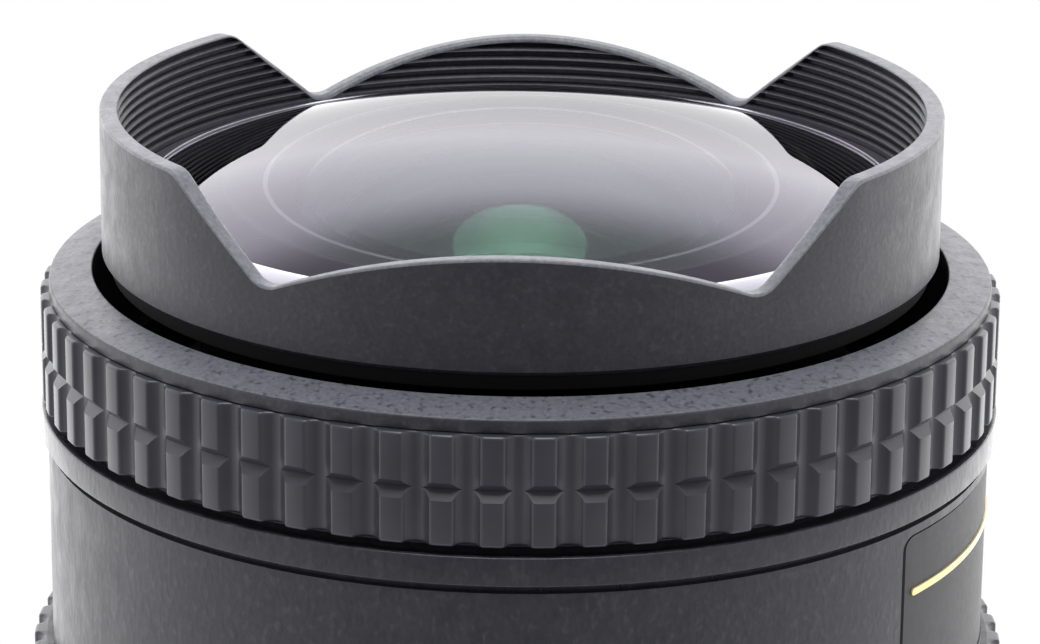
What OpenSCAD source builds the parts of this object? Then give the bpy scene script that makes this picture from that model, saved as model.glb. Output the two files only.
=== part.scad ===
// Fisheye zoom lens for a reflex camera, set to its widest view and focused far away.
// The axis of the lens is Z, its mount flange is the plane z = 0 and its front glass faces +Z.

/* [Hood and front glass] */
// Height of the tall petals above the flange
hood_top = 71.1; // [70.9:0.1:72]
// Height of the low petals at their middle
low_petal_top = 68.6; // [67.6:0.1:69.4]
// Height of the corners between the petals
notch_z = 64.7; // [64.4:0.1:65.4]
// Outer radius of the hood
hood_r = 29.55; // [29.4:0.05:29.8]
// Stepped grooves inside the hood
groove_count = 9; // [4:1:10]
// Height of the front glass at its middle
dome_top = 69.8; // [69.2:0.1:69.8]
// Radius of curvature of the front glass
dome_curve = 74; // [70:1:74]

/* [Rings and barrel] */
// Radius of the focus grip over its pads
focus_grip_r = 33.95; // [33.85:0.05:34.1]
// Radius of the zoom grip over its pads
zoom_grip_r = 35; // [34.9:0.05:35.3]
// Pads round each grip
pad_count = 64; // [48:2:72]
// Radius of the fixed barrel
barrel_r = 33.6; // [33.5:0.05:33.7]
// Angle covered by the plate pocket
plate_angle = 76.6; // [50:0.2:90]

/* [Travel] */
// Turn of the zoom ring, in degrees
zoom_turn = 60; // [40:1:60]
// How far the front group draws in over the zoom
front_travel = 3.2; // [2:0.1:3.2]
// How far the rear group goes forward over the zoom
rear_travel = 7; // [4:0.5:7]
// Turn of the focus ring, in degrees
focus_turn = 90; // [60:1:90]
// How far the focus group goes forward
focus_travel = 2.2; // [1:0.1:2.2]
// Turn of the aperture lever, in degrees
aperture_turn = 25; // [15:1:25]
// Swing of each iris blade, in degrees
blade_turn = 28; // [15:1:28]

/* [Mount] */
// Outer radius of the bayonet tube
bayonet_r = 21.9; // [21.7:0.05:22]
// Length of the bayonet tube behind the flange
bayonet_length = 5; // [5:0.1:6]
// Outer radius of the bayonet lugs
lug_r = 23.5; // [23.2:0.1:23.8]

/* [Hidden] */
$fn = 96;
// Steps round the spheres that shape the glass
glass_steps = 240;
// Clearances: sliding fits, pins in their holes and cemented glass
slide_gap = 0.1;
pin_gap = 0.05;
cement_gap = 0.03;
// Reach of a cut beyond the wall that it cuts
over = 1;

hood_bottom = 60.67;
hood_wall = 1.25;
hood_in = hood_r - hood_wall;
// Seen from the front, the petals' outline: corners, slanting sides and roundings
notch_x = 16.1;
slant_x = 22.3;
notch_round = 1.5;
petal_round = 1.2;
low_sag = low_petal_top - notch_z;
low_arc_r = (notch_x * notch_x + low_sag * low_sag) / (2 * low_sag);
groove_depth = 0.45;
// Ledge ring round the glass: foot, height at its outer edge and height at its inner lip
retainer_z = [63.7, 64.45, 65.08];
retainer_r = [26.35, hood_in - slide_gap];
groove_foot = 64.8;
groove_head = 0.1;
groove_pitch = (hood_top - groove_head - groove_foot) / groove_count;

// Glass: radii, seats, and the cemented faces as [height on the axis, curve]
front_glass_r = 27.6;
front_seat_z = 61;
second_glass_r = 17.5;
second_seat_z = 57.4;
third_glass_r = 13;
third_seat_z = 48;
doublet_r = 11.5;
doublet_join = [40.7, 22];
rear_join = [11.48, 24];

// Focus ring
focus_core_r = 32.8;
ring_face_r = 33.3;
ring_face_in = 30.25;
ring_face_z = 59;
ring_face_rise = 0.64;
ring_z = 50.35;
grip_z = [50.45, 58.05];
pad_depth = 0.62;
pad_share = 0.48;
pad_chamfer = 0.28;
notch_height = 1.1;
// Where the first valley stands, so that the pads sit as they do under the petals
pad_phase = 1.2;

// Fixed barrel: the neck carries the focus ring, the rear sleeve the zoom ring
neck_r = 31.5;
sleeve_r = 32.1;
bore_r = 30.4;
neck_top = 58.2;
collar_r = 34;
collar_z = [47.85, 49.85];
collar_rim = 0.35;
collar_floor = 49.2;
groove_in = 33.1;
barrel_top = 47.25;
barrel_step = 32.35;
barrel_foot = 11.2;
plate_pocket_r = 32.6;
plate_face_r = 33.5;
plate_z = [33.2, 46.65];
plate_round = 1.0;
// Gap round the plate, at its ends and along its long edges
plate_margin = [0.45, 0.18];

// Zoom ring
zoom_z = [11.5, 32.1];
zoom_band_r = 34.2;
zoom_band_top = 15.6;
zoom_core_r = 33.6;
zoom_lip_r = 34.1;
zoom_grip_z = [15.75, 31.85];
zoom_pin_z = 26;
zoom_pin_r = 1.5;
zoom_pin_angles = [0, 180];
pin_swing = 6;

// Nested tubes, from inside out: focus sleeve, front cell, guide barrel, cam barrel
focus_sleeve_r = [20.4, 21.9];
cell_r = [22, 23.2];
guide_r = [23.3, 24.6];
cam_r = [24.75, 26];
guide_z = [3, 50.2];
guide_flange = [26.4, 4.6];
cam_z = [4.85, 49.8];
follower_r = 1.4;
shank_r = 0.75;
cam_slot_half = follower_r + 0.15;
front_follower_z = 38;
front_follower_angles = [30, 150, 270];
rear_follower_z = 12;
rear_follower_angles = [90, 210, 330];

// Focus drive
key_z = [50.8, 52.6];
key_w = 2.4;
key_angle = 100;
key_swing = 7;
window_z = [50.3, 56.2];
focus_sleeve_z = [38, 55.6];
focus_pin_z = 44;
focus_pin_r = 1.2;
focus_pin_shank_r = 0.9;
focus_pin_in = 16.2;
focus_pin_angles = [60, 180, 300];
focus_cell_r = 20.2;

// Rear group and iris
rear_glass_r = 10.5;
rear_bore_r = rear_glass_r + slide_gap;
rear_tube_r = 12.4;
rear_cell_z = [7, 21.5];
web_z = [14, 16];
iris_z = 20;
iris_open_r = 9.8;
iris_r = 17.9;
iris_plate = 0.8;
blade_count = 6;
blade_gap = 0.1;
blade_thickness = 0.15;
blade_pivot_r = 14.5;
blade_pin_r = 0.6;
blade_tail = 12;
blade_reach = 105;
blade_outer_r = 12.8;
drive_z = [22.6, 23.4];
drive_r = [10.4, 17.2];
iris_cover_z = [23.6, 24.2];

// Aperture lever
lever_z = [2.4, 3.4];
lever_r = [18, 22.8];
finger_r = [18.2, 19.4];
finger_w = 2;
finger_top = 31.2;
finger_angle = 250;
tab_angle = 160;
tab_foot = -4.4;
tab_w = 2.5;
swing_margin = 7;

// Return spring of the aperture lever
spring_r = 20.9;
spring_wire_r = 0.25;
spring_turns = 2.25;
spring_pitch = 1;
spring_z = 3.9;
spring_start = finger_angle + 6;
spring_bend = 2;
spring_rings = 24;
wire_sides = 6;

// Mount
flange_r = 29.9;
flange_z = 2;
tube_in = 19.9;
lug_z = [-3.5, -1.9];
lug_spans = [[10, 62], [128, 176], [250, 300]];
shelf_z = [-2.2, -1];
shelf_in = 17.5;
baffle_z = [-3.1, -2.2];
baffle_window = [24, 17];
baffle_screw_angles = [60, 300];
baffle_screw_at = 18.7;
mount_screw_at = 25.5;
mount_screw_angles = [45, 135, 225, 315];
mount_screw_r = 0.9;
mount_screw_head_r = 1.7;
lock_hole_at = 26.6;
lock_hole_r = 1.6;
lock_hole_depth = 1.4;
lock_hole_angle = 95;
contact_span = [330, 390];
contact_count = 7;
contact_r = [17.6, tube_in - 0.2];
contact_z = [-4.4, baffle_z[0]];
rear_wall_r = 29.6;
rear_top_r = 33.9;
dot_angle = 280;
dot_z = 6.2;
dot_r = 1.2;
dot_from = [31.7, 32.9];

// Colours, as the finishes look
black_paint = "#3a3a41";
inner_black = "#1f1f22";
grip_black = "#2b2b30";
glass_tint = "#aeb6b8";
chrome_grey = "#b9bbbd";
steel_grey = "#8d9094";
brass = "#b08d45";

function polar(r, a) = r * [cos(a), sin(a)];
function arc(centre, r, a0, a1, steps) = [for (i = [0:steps]) centre + polar(r, a0 + (a1 - a0) * i / steps)];
function mirrored(points) = [for (i = [len(points) - 1:-1:0]) [-points[i].x, points[i].y]];
function turned(p, a) = [p.x * cos(a) - p.y * sin(a), p.x * sin(a) + p.y * cos(a)];
function unit(v) = v / norm(v);

module lathe(points) {
    rotate_extrude() polygon(points);
}

module tube(r, z) {
    rotate_extrude() translate([r[0], z[0]]) square([r[1] - r[0], z[1] - z[0]]);
}

// A rectangle with round corners
module rounded_window(size, corner) {
    square([size.x - 2 * corner, size.y], center = true);
    square([size.x, size.y - 2 * corner], center = true);
    for (x = [-1, 1], y = [-1, 1])
        translate([x * (size.x / 2 - corner), y * (size.y / 2 - corner)]) circle(corner);
}

module sector(r, z, a0, a1) {
    rotate([0, 0, a0])
        rotate_extrude(angle = a1 - a0) translate([r[0], z[0]]) square([r[1] - r[0], z[1] - z[0]]);
}

// A round bar that points away from the axis
module radial_pin(r, from, to, z, angle) {
    rotate([0, 0, angle]) translate([from, 0, z]) rotate([0, 90, 0]) cylinder(r = r, h = to - from);
}

// A square bar that points away from the axis
module radial_bar(from, to, width, z, angle) {
    rotate([0, 0, angle]) translate([from, -width / 2, z[0]]) cube([to - from, width, z[1] - z[0]]);
}

// A slot along the axis with round ends, through the wall between the two radii
module straight_slot(half, r, z0, z1, angle) {
    radial_bar(r[0], r[1], 2 * half, [z0, z1], angle);
    for (z = [z0, z1]) radial_pin(half, r[0], r[1], z, angle);
}

// A slot that climbs round a tube, in straight pieces short enough to follow the helix
module helix_slot(half, wall, angle, z, turn, rise) {
    pieces = ceil(turn / 10);
    middle = (wall[0] + wall[1]) / 2;
    step = middle * turn / pieces * PI / 180;
    tilt = -atan2(rise / pieces, step);
    reach = wall[1] - wall[0] + 2 * over;
    for (i = [0:pieces - 1]) {
        share = (i + 0.5) / pieces;
        rotate([0, 0, angle - turn * share]) translate([middle, 0, z + rise * share])
            rotate([tilt, 0, 0]) cube([reach, 1.06 * step, 2 * half], center = true);
    }
    for (end = [0, 1]) radial_pin(half, wall[0] - over, wall[1] + over, z + end * rise, angle - end * turn);
}

// Glass between a rear and a front face, each given as [height on the axis, curve, height of its rim].
// A positive curve bulges outwards, a negative one is hollow and needs its rim, and 0 is flat.
module lens(r, rear, front) {
    foot = rear[1] < 0 ? rear[2] : rear[0];
    head = front[1] < 0 ? front[2] : front[0];
    difference() {
        intersection() {
            translate([0, 0, foot]) cylinder(r = r, h = head - foot);
            bulge(front[0] - front[1], front[1], r);
            bulge(rear[0] + rear[1], rear[1], r);
        }
        if (front[1] < 0) translate([0, 0, front[0] - front[1]]) sphere(-front[1], $fn = glass_steps);
        if (rear[1] < 0) translate([0, 0, rear[0] + rear[1]]) sphere(-rear[1], $fn = glass_steps);
    }
}

module bulge(centre, curve, r) {
    if (curve > 0) translate([0, 0, centre]) sphere(curve, $fn = glass_steps);
    else cylinder(r = r + over, h = 4 * hood_top, center = true);
}

// Front group

// Right half of the petals' outline from the front, low middle first
function petal_half() =
    let (
        centre = [0, low_petal_top - low_arc_r],
        slope = atan2(hood_top - notch_z, slant_x - notch_x),
        along = polar(1, slope),
        across = polar(1, slope + 90),
        top = [slant_x, hood_top],
        w = top + notch_round * across - centre,
        reach = -(w * along) + sqrt(pow(w * along, 2) - w * w + pow(low_arc_r + notch_round, 2)),
        fillet = centre + w + reach * along,
        meet = atan2(fillet.y - centre.y, fillet.x - centre.x),
        shoulder = top + petal_round * [tan(slope / 2), -1]
    )
    concat(
        arc(centre, low_arc_r, 90, meet, 14),
        arc(fillet, notch_round, meet + 180, slope + 270, 6),
        arc(shoulder, petal_round, slope + 90, 90, 5),
        [[hood_r + over, hood_top]]
    );

module petal_outline() {
    half = petal_half();
    foot = hood_bottom - over;
    polygon(concat(half, [[hood_r + over, foot], [-hood_r - over, foot]], mirrored(half)));
}

// One groove of the inner wall, from its foot upwards
function groove(z) = [
    [hood_in, z + 0.10 * groove_pitch], [hood_in + groove_depth, z + 0.25 * groove_pitch],
    [hood_in + groove_depth, z + 0.75 * groove_pitch], [hood_in, z + 0.90 * groove_pitch]
];

module hood() {
    rim = 0.3;
    grooves = [for (i = [0:groove_count - 1]) each groove(groove_foot + i * groove_pitch)];
    color(black_paint) intersection() {
        lathe(concat(
            [[hood_r, hood_top - rim], [hood_r, hood_bottom + rim], [hood_r - rim, hood_bottom],
             [hood_in, hood_bottom]],
            grooves,
            [[hood_in, hood_top], [hood_r - rim, hood_top]]
        ));
        rotate([90, 0, 0]) linear_extrude(3 * hood_r, center = true) petal_outline();
    }
}

module front_retainer() {
    seat_r = front_glass_r + pin_gap;
    color(steel_grey) lathe([
        [retainer_r[0], retainer_z[2] - 0.08], [seat_r, 64.5], [seat_r, retainer_z[0]],
        [retainer_r[1], retainer_z[0]], [retainer_r[1], retainer_z[1]], [retainer_r[0], retainer_z[2]]
    ]);
}

module front_element() {
    color(glass_tint) lens(front_glass_r, [67.2, -33.8, front_seat_z], [dome_top, dome_curve]);
}

module second_element() {
    color(glass_tint) lens(second_glass_r, [61.7, -21.8, second_seat_z], [63.5, 36]);
}

module second_retainer() {
    color(inner_black) tube([16.9, second_glass_r + pin_gap], [59.35, 60.2]);
}

// Carries the hood and the two front glasses, and slides in the guide barrel
module front_cell() {
    rim_r = 28.2;
    rim_z = retainer_z[0] - slide_gap;
    ledge_r = 28.9;
    foot = 36;
    color(inner_black) difference() {
        lathe([
            [cell_r[1], foot], [cell_r[1], 59], [rim_r - 0.6, 59], [ledge_r, 59.6], [ledge_r, hood_bottom],
            [rim_r, hood_bottom], [rim_r, rim_z], [front_glass_r + slide_gap, rim_z],
            [front_glass_r + slide_gap, front_seat_z], [19.8, front_seat_z],
            [second_glass_r + slide_gap, 60.3], [second_glass_r + slide_gap, second_seat_z],
            [14, second_seat_z], [14, 56.6], [cell_r[0], 56.6], [cell_r[0], foot]
        ]);
        for (a = front_follower_angles)
            radial_pin(shank_r + pin_gap, cell_r[0] - over, cell_r[1] + over, front_follower_z, a);
        for (a = focus_pin_angles)
            straight_slot(focus_pin_r + pin_gap, [cell_r[0] - over, cell_r[1] + over],
                          focus_pin_z, focus_pin_z + focus_travel, a);
        sector([cell_r[0] - over, cell_r[1] + over], window_z,
               key_angle - key_swing, key_angle + focus_turn + key_swing);
    }
}

// A shank in the cell's wall and a roller outside it
module follower(z, angle) {
    base = cell_r[1] + pin_gap;
    radial_pin(shank_r, cell_r[0] + 0.1, base, z, angle);
    radial_pin(follower_r, base, cam_r[1] - slide_gap, z, angle);
}

module front_followers() {
    color(brass) for (a = front_follower_angles) follower(front_follower_z, a);
}

// Focus drive

// Ribs of a grip seen along the axis: round valleys between flat pads
module ribs(r) {
    valley = 2 * PI * r / pad_count * (1 - pad_share);
    round_r = (valley * valley / 4 + pad_depth * pad_depth) / (2 * pad_depth);
    difference() {
        circle(r);
        for (i = [0:pad_count - 1])
            rotate(360 / pad_count * i + pad_phase)
                translate([r - pad_depth + round_r, 0]) circle(round_r, $fn = 32);
    }
}

// A grip with rows of pads, chamfered at both ends and notched between the rows
module grip(core_r, r, z, rows) {
    pitch = (z[1] - z[0]) / rows;
    floor_r = r - pad_depth + 0.05;
    notches = [for (i = [1:rows - 1]) let (at = z[0] + i * pitch) each [
        [r, at - notch_height / 2], [floor_r, at - 0.1], [floor_r, at + 0.1], [r, at + notch_height / 2]
    ]];
    intersection() {
        lathe(concat(
            [[core_r, z[0]], [r - pad_chamfer, z[0]], [r, z[0] + pad_chamfer]],
            notches,
            [[r, z[1] - pad_chamfer], [r - pad_chamfer, z[1]], [core_r, z[1]]]
        ));
        translate([0, 0, z[0] - over]) linear_extrude(z[1] - z[0] + 2 * over) ribs(r);
    }
}

module focus_ring() {
    lip = 0.25;
    foot = 0.35;
    seat_z = [grip_z[0] - 0.02, grip_z[1] + pin_gap];
    ceiling = neck_top + 0.25;
    color(black_paint) difference() {
        lathe([
            [neck_r + slide_gap, ring_z], [focus_core_r + foot, ring_z], [focus_core_r + foot, seat_z[0]],
            [focus_core_r, seat_z[0]], [focus_core_r, seat_z[1]], [ring_face_r, seat_z[1]],
            [ring_face_r, ring_face_z - lip], [ring_face_r - lip, ring_face_z],
            [ring_face_in, ring_face_z + ring_face_rise], [ring_face_in, ceiling],
            [neck_r + slide_gap, ceiling]
        ]);
        radial_bar(neck_r, focus_core_r + over, key_w + 2 * pin_gap,
                   [key_z[0] - pin_gap, key_z[1] + pin_gap], key_angle);
    }
}

module focus_rubber() {
    color(grip_black) grip(focus_core_r + pin_gap, focus_grip_r, grip_z, 2);
}

// Reaches in from the ring, through the neck and the cell, to the sleeve
module focus_key() {
    color(steel_grey) radial_bar(20.7, focus_core_r - 0.2, key_w, key_z, key_angle);
}

// Turns with the focus ring, inside the front cell
module focus_sleeve() {
    color(inner_black) difference() {
        tube(focus_sleeve_r, focus_sleeve_z);
        for (a = focus_pin_angles)
            helix_slot(focus_pin_r + slide_gap, focus_sleeve_r, a, focus_pin_z, focus_turn, focus_travel);
        radial_bar(focus_sleeve_r[0] - over, focus_sleeve_r[1] + over, key_w + 0.3,
                   [window_z[0], focus_sleeve_z[1] + over], key_angle);
    }
}

module focus_cell() {
    hub_r = 14.6;
    hub_z = [38.9, 52.7];
    land = [41, 46.6];
    stop_r = 10.7;
    doublet_seat_z = 45.15;
    third_bore_r = third_glass_r + slide_gap;
    doublet_bore_r = doublet_r + slide_gap;
    color(inner_black) difference() {
        lathe([
            [hub_r, hub_z[0]], [hub_r, land[0]], [focus_cell_r, land[0]], [focus_cell_r, land[1]],
            [hub_r, land[1]], [hub_r, hub_z[1]], [third_bore_r, hub_z[1]], [third_bore_r, third_seat_z],
            [stop_r, third_seat_z], [stop_r, doublet_seat_z], [doublet_bore_r, doublet_seat_z],
            [doublet_bore_r, hub_z[0]]
        ]);
        for (a = focus_pin_angles)
            radial_pin(focus_pin_shank_r + pin_gap, focus_pin_in - 0.2, focus_cell_r + over, focus_pin_z, a);
    }
}

module third_element() {
    color(glass_tint) lens(third_glass_r, [50.4, -24, third_seat_z], [51.7, -120, 52.1]);
}

module focus_doublet_front() {
    color(glass_tint) lens(doublet_r, doublet_join, [47, 30]);
}

module focus_doublet_rear() {
    color(glass_tint) lens(doublet_r, [38.8, 60], [doublet_join[0] - cement_gap, -doublet_join[1], 44.5]);
}

module focus_retainers() {
    color(steel_grey) {
        tube([12, third_glass_r + pin_gap], [52.1, 52.6]);
        tube([10.6, doublet_r + pin_gap], [39, 39.7]);
    }
}

module focus_pins() {
    base = focus_cell_r + slide_gap;
    color(brass) for (a = focus_pin_angles) {
        radial_pin(focus_pin_shank_r, focus_pin_in, base, focus_pin_z, a);
        radial_pin(focus_pin_r, base, cell_r[1] - slide_gap, focus_pin_z, a);
    }
}

// Fixed barrel

module front_collar() {
    edge = 0.15;
    color(black_paint) lathe([
        [neck_r + pin_gap, barrel_top], [groove_in, barrel_top], [groove_in, collar_z[0]],
        [collar_r - edge, collar_z[0]], [collar_r, collar_z[0] + edge], [collar_r, collar_z[1] - edge],
        [collar_r - edge, collar_z[1]], [collar_r - collar_rim, collar_z[1]],
        [collar_r - collar_rim, collar_floor], [neck_r + pin_gap, collar_floor]
    ]);
}

// The plate's outline pressed through the barrel from its side, between two radii
module plate_shape(r, margin) {
    half = barrel_r * sin(plate_angle / 2) - margin[0];
    low = plate_z[0] + margin[1];
    high = plate_z[1] - margin[1];
    round_r = plate_round - margin[1];
    intersection() {
        tube(r, [low - over, high + over]);
        translate([0, 0, (low + high) / 2]) rotate([90, 0, 90])
            linear_extrude(2 * barrel_r) rounded_window([2 * half, high - low], round_r);
    }
}

module main_barrel() {
    pin_window = [zoom_pin_z - 1.9, zoom_pin_z + 1.9];
    key_window = key_z + [-0.3, 0.3];
    color(black_paint) difference() {
        lathe([
            [bore_r, barrel_foot], [sleeve_r, barrel_foot], [sleeve_r, barrel_step], [barrel_r, barrel_step],
            [barrel_r, barrel_top], [neck_r, barrel_top], [neck_r, neck_top], [bore_r, neck_top]
        ]);
        for (a = zoom_pin_angles)
            sector([bore_r - over, sleeve_r + over], pin_window, a - pin_swing, a + zoom_turn + pin_swing);
        sector([bore_r - over, neck_r + over], key_window,
               key_angle - key_swing, key_angle + focus_turn + key_swing);
        plate_shape([plate_pocket_r, barrel_r + over], [0, 0]);
    }
}

module name_plate() {
    color(inner_black) plate_shape([plate_pocket_r + pin_gap, plate_face_r], plate_margin);
}

// Fixed inner tube whose straight slots keep both groups from turning
module guide_barrel() {
    wall = [guide_r[0] - over, guide_r[1] + over];
    half = follower_r + pin_gap;
    color(steel_grey) difference() {
        union() {
            tube(guide_r, guide_z);
            tube([guide_r[0], guide_flange[0]], [guide_z[0], guide_flange[1]]);
        }
        for (a = front_follower_angles)
            straight_slot(half, wall, front_follower_z - front_travel, front_follower_z, a);
        for (a = rear_follower_angles)
            straight_slot(half, wall, rear_follower_z, rear_follower_z + rear_travel, a);
        for (a = mount_screw_angles) rotate(a) translate([mount_screw_at, 0, guide_z[0] - over])
            cylinder(r = mount_screw_r + pin_gap, h = 3);
        radial_pin(spring_wire_r + slide_gap, wall[0], wall[1], spring_z + spring_pitch * spring_turns,
                   spring_start + 360 * spring_turns + spring_bend);
    }
}

// Zoom drive

module zoom_ring() {
    lip_edge = 0.08;
    color(black_paint) difference() {
        lathe([
            [sleeve_r + slide_gap, zoom_z[0]], [zoom_band_r - 0.3, zoom_z[0]], [zoom_band_r, zoom_z[0] + 0.3],
            [zoom_band_r, zoom_band_top], [zoom_core_r, zoom_band_top], [zoom_core_r, zoom_grip_z[1] + 0.1],
            [zoom_lip_r, zoom_grip_z[1] + 0.1], [zoom_lip_r, zoom_z[1] - lip_edge],
            [zoom_lip_r - lip_edge, zoom_z[1]],
            [sleeve_r + slide_gap, zoom_z[1]]
        ]);
        for (a = zoom_pin_angles)
            radial_pin(zoom_pin_r + pin_gap, sleeve_r, zoom_core_r + over, zoom_pin_z, a);
    }
}

module zoom_rubber() {
    color(grip_black) grip(zoom_core_r + pin_gap, zoom_grip_r, zoom_grip_z, 4);
}

module zoom_drive_pins() {
    color(steel_grey) for (a = zoom_pin_angles)
        radial_pin(zoom_pin_r, cam_r[0] + 0.1, zoom_core_r - 0.2, zoom_pin_z, a);
}

// Turns with the zoom ring; its slots push both groups along
module cam_barrel() {
    color(steel_grey) difference() {
        tube(cam_r, cam_z);
        for (a = front_follower_angles)
            helix_slot(cam_slot_half, cam_r, a, front_follower_z, zoom_turn, -front_travel);
        for (a = rear_follower_angles)
            helix_slot(cam_slot_half, cam_r, a, rear_follower_z, zoom_turn, rear_travel);
        for (a = zoom_pin_angles)
            radial_pin(zoom_pin_r + pin_gap, cam_r[0] - over, cam_r[1] + over, zoom_pin_z, a);
    }
}

// Rear group

module rear_cell() {
    inner = 21.8;
    color(inner_black) difference() {
        union() {
            tube([inner, cell_r[1]], rear_cell_z);
            tube([rear_bore_r, cell_r[1] - 0.5], web_z);
            tube([rear_bore_r, rear_tube_r], [4.6, iris_z]);
        }
        for (a = rear_follower_angles)
            radial_pin(shank_r + pin_gap, inner - over, cell_r[1] + over, rear_follower_z, a);
        sector([finger_r[0] - 0.3, finger_r[1] + 0.3], [web_z[0] - over, web_z[1] + over],
               finger_angle - swing_margin, finger_angle + aperture_turn + swing_margin);
    }
}

module rear_element_1() {
    color(glass_tint) lens(rear_glass_r, [16.8, 0], [19.6, 40]);
}

module rear_doublet_front() {
    color(glass_tint) lens(rear_glass_r, rear_join, [16.14, 45]);
}

module rear_doublet_rear() {
    color(glass_tint) lens(rear_glass_r, [10.6, 0], [rear_join[0] - cement_gap, -rear_join[1], 14.5]);
}

module rear_element_2() {
    color(glass_tint) lens(rear_glass_r, [8.2, -50, 7.4], [9.9, 60]);
}

module rear_element_3() {
    color(glass_tint) lens(rear_glass_r, [4.9, 35], [7, 0]);
}

module rear_spacers() {
    spans = [[7, 7.4], [9.15, 10.6], [15.12, 16.8], [18.45, iris_z]];
    color(inner_black) for (z = spans) tube([9.6, rear_glass_r], z);
}

module rear_retainer() {
    color(inner_black) tube([9.6, rear_glass_r], [5, 6.2]);
}

module rear_followers() {
    color(brass) for (a = rear_follower_angles) follower(rear_follower_z, a);
}

// Iris

module iris_base() {
    color(inner_black) difference() {
        tube([iris_open_r, iris_r], [iris_z, iris_z + iris_plate]);
        for (i = [0:blade_count - 1])
            rotate(360 / blade_count * i) translate([blade_pivot_r, 0, iris_z - over])
                cylinder(r = blade_pin_r + pin_gap, h = iris_plate + 2 * over);
    }
}

// The rim is open where the drive ring's arm swings
module iris_cover() {
    color(inner_black) difference() {
        union() {
            tube([iris_open_r, iris_r], iris_cover_z);
            tube([drive_r[1] + 0.2, iris_r], [iris_z + iris_plate, iris_cover_z[0] + 0.1]);
        }
        sector([drive_r[1] - over, iris_r + over], [drive_z[0] - 0.3, drive_z[1] + 0.15],
               finger_angle - 10, finger_angle + aperture_turn + 10);
    }
}

// Where a blade's drive pin stands after a share of the travel, seen from the turning drive ring
blade_pivot = [blade_pivot_r, 0];
blade_drive = polar(blade_pivot_r, -blade_tail);
function drive_path(steps) = [for (i = [0:steps]) let (share = i / steps)
    turned(blade_pivot + turned(blade_drive - blade_pivot, blade_turn * share), -aperture_turn * share)];
function path_side(path, i) = let (
        step = path[min(i + 1, len(path) - 1)] - path[max(i - 1, 0)]
    ) unit([-step.y, step.x]);

module drive_slot() {
    path = drive_path(12);
    half = blade_pin_r + slide_gap;
    last = len(path) - 1;
    polygon(concat(
        [for (i = [0:last]) path[i] + half * path_side(path, i)],
        [for (i = [last:-1:0]) path[i] - half * path_side(path, i)]
    ));
    for (end = [path[0], path[last]]) translate(end) circle(half);
}

module iris_ring() {
    arm = [16.8, 20.3];
    arm_w = 4.4;
    thickness = drive_z[1] - drive_z[0];
    color(steel_grey) difference() {
        union() {
            tube(drive_r, drive_z);
            radial_bar(arm[0], arm[1], arm_w, drive_z, finger_angle);
        }
        for (i = [0:blade_count - 1]) rotate(360 / blade_count * i)
            translate([0, 0, drive_z[0] - over]) linear_extrude(thickness + 2 * over) drive_slot();
        radial_bar(finger_r[0] - 0.2, arm[1] + over, finger_w + 0.2,
                   [drive_z[0] - over, drive_z[1] + over], finger_angle);
    }
}

// Outline of a blade: a crescent on a short arm between its pivot and its drive pin
module blade_shape() {
    arm_r = 1.3;
    wedge = 2 * blade_outer_r;
    intersection() {
        difference() {
            circle(blade_outer_r);
            circle(iris_open_r + 0.1);
        }
        polygon([[0, 0], polar(wedge, -8), polar(wedge, 30), polar(wedge, 70), polar(wedge, blade_reach)]);
    }
    for (p = [blade_pivot, blade_drive]) translate(p) circle(arm_r);
    translate(blade_pivot) rotate(180) square([blade_pivot_r - blade_outer_r + 0.6, 2 * arm_r]);
    translate(blade_pivot) rotate(atan2(blade_drive.y, blade_drive.x - blade_pivot.x) - 90)
        translate([-arm_r, 0]) square([2 * arm_r, norm(blade_drive - blade_pivot)]);
}

// Blades lie on their own levels, so that they pass over each other
module iris_blade(index) {
    level = iris_z + iris_plate + blade_gap + index * (blade_thickness + blade_gap);
    color(steel_grey) rotate(360 / blade_count * index) {
        translate([0, 0, level]) linear_extrude(blade_thickness) blade_shape();
        translate([blade_pivot.x, blade_pivot.y, iris_z + 0.05])
            cylinder(r = blade_pin_r, h = level - iris_z);
        translate([blade_drive.x, blade_drive.y, level])
            cylinder(r = blade_pin_r, h = drive_z[1] - 0.05 - level);
    }
}

// Aperture lever: a ring on the flange with a tab for the camera and a finger for the iris
module aperture_lever() {
    color(steel_grey) {
        tube(lever_r, lever_z);
        radial_bar(finger_r[0], finger_r[1], finger_w, [lever_z[0], finger_top], finger_angle);
        radial_bar(finger_r[0], finger_r[1], tab_w, [tab_foot, lever_z[1]], tab_angle);
    }
}

// Brings the lever back: a coil round the axis, from a leg at the finger to a leg in the guide barrel
function spring_at(share) = let (a = spring_start + 360 * spring_turns * share)
    concat(polar(spring_r, a), spring_z + spring_pitch * spring_turns * share);
spring_path = let (
        steps = ceil(spring_turns * spring_rings),
        first = spring_at(0),
        last = spring_at(1),
        end = spring_start + 360 * spring_turns
    ) concat(
        [concat(polar(finger_r[0], spring_start - spring_bend), first.z)],
        [concat(polar(finger_r[1], spring_start - spring_bend), first.z)],
        [for (i = [0:steps]) spring_at(i / steps)],
        [concat(polar(guide_r[0] - slide_gap, end + spring_bend), last.z)],
        [concat(polar(guide_r[1] - slide_gap, end + spring_bend), last.z)]
    );
function wire_ring(path, i, r) = let (
        along = unit(path[min(i + 1, len(path) - 1)] - path[max(i - 1, 0)]),
        side = unit(cross(along, [0, 0, 1])),
        up = cross(side, along)
    ) [for (j = [0:wire_sides - 1]) let (a = 360 / wire_sides * j)
        path[i] + r * (cos(a) * side + sin(a) * up)];

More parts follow.
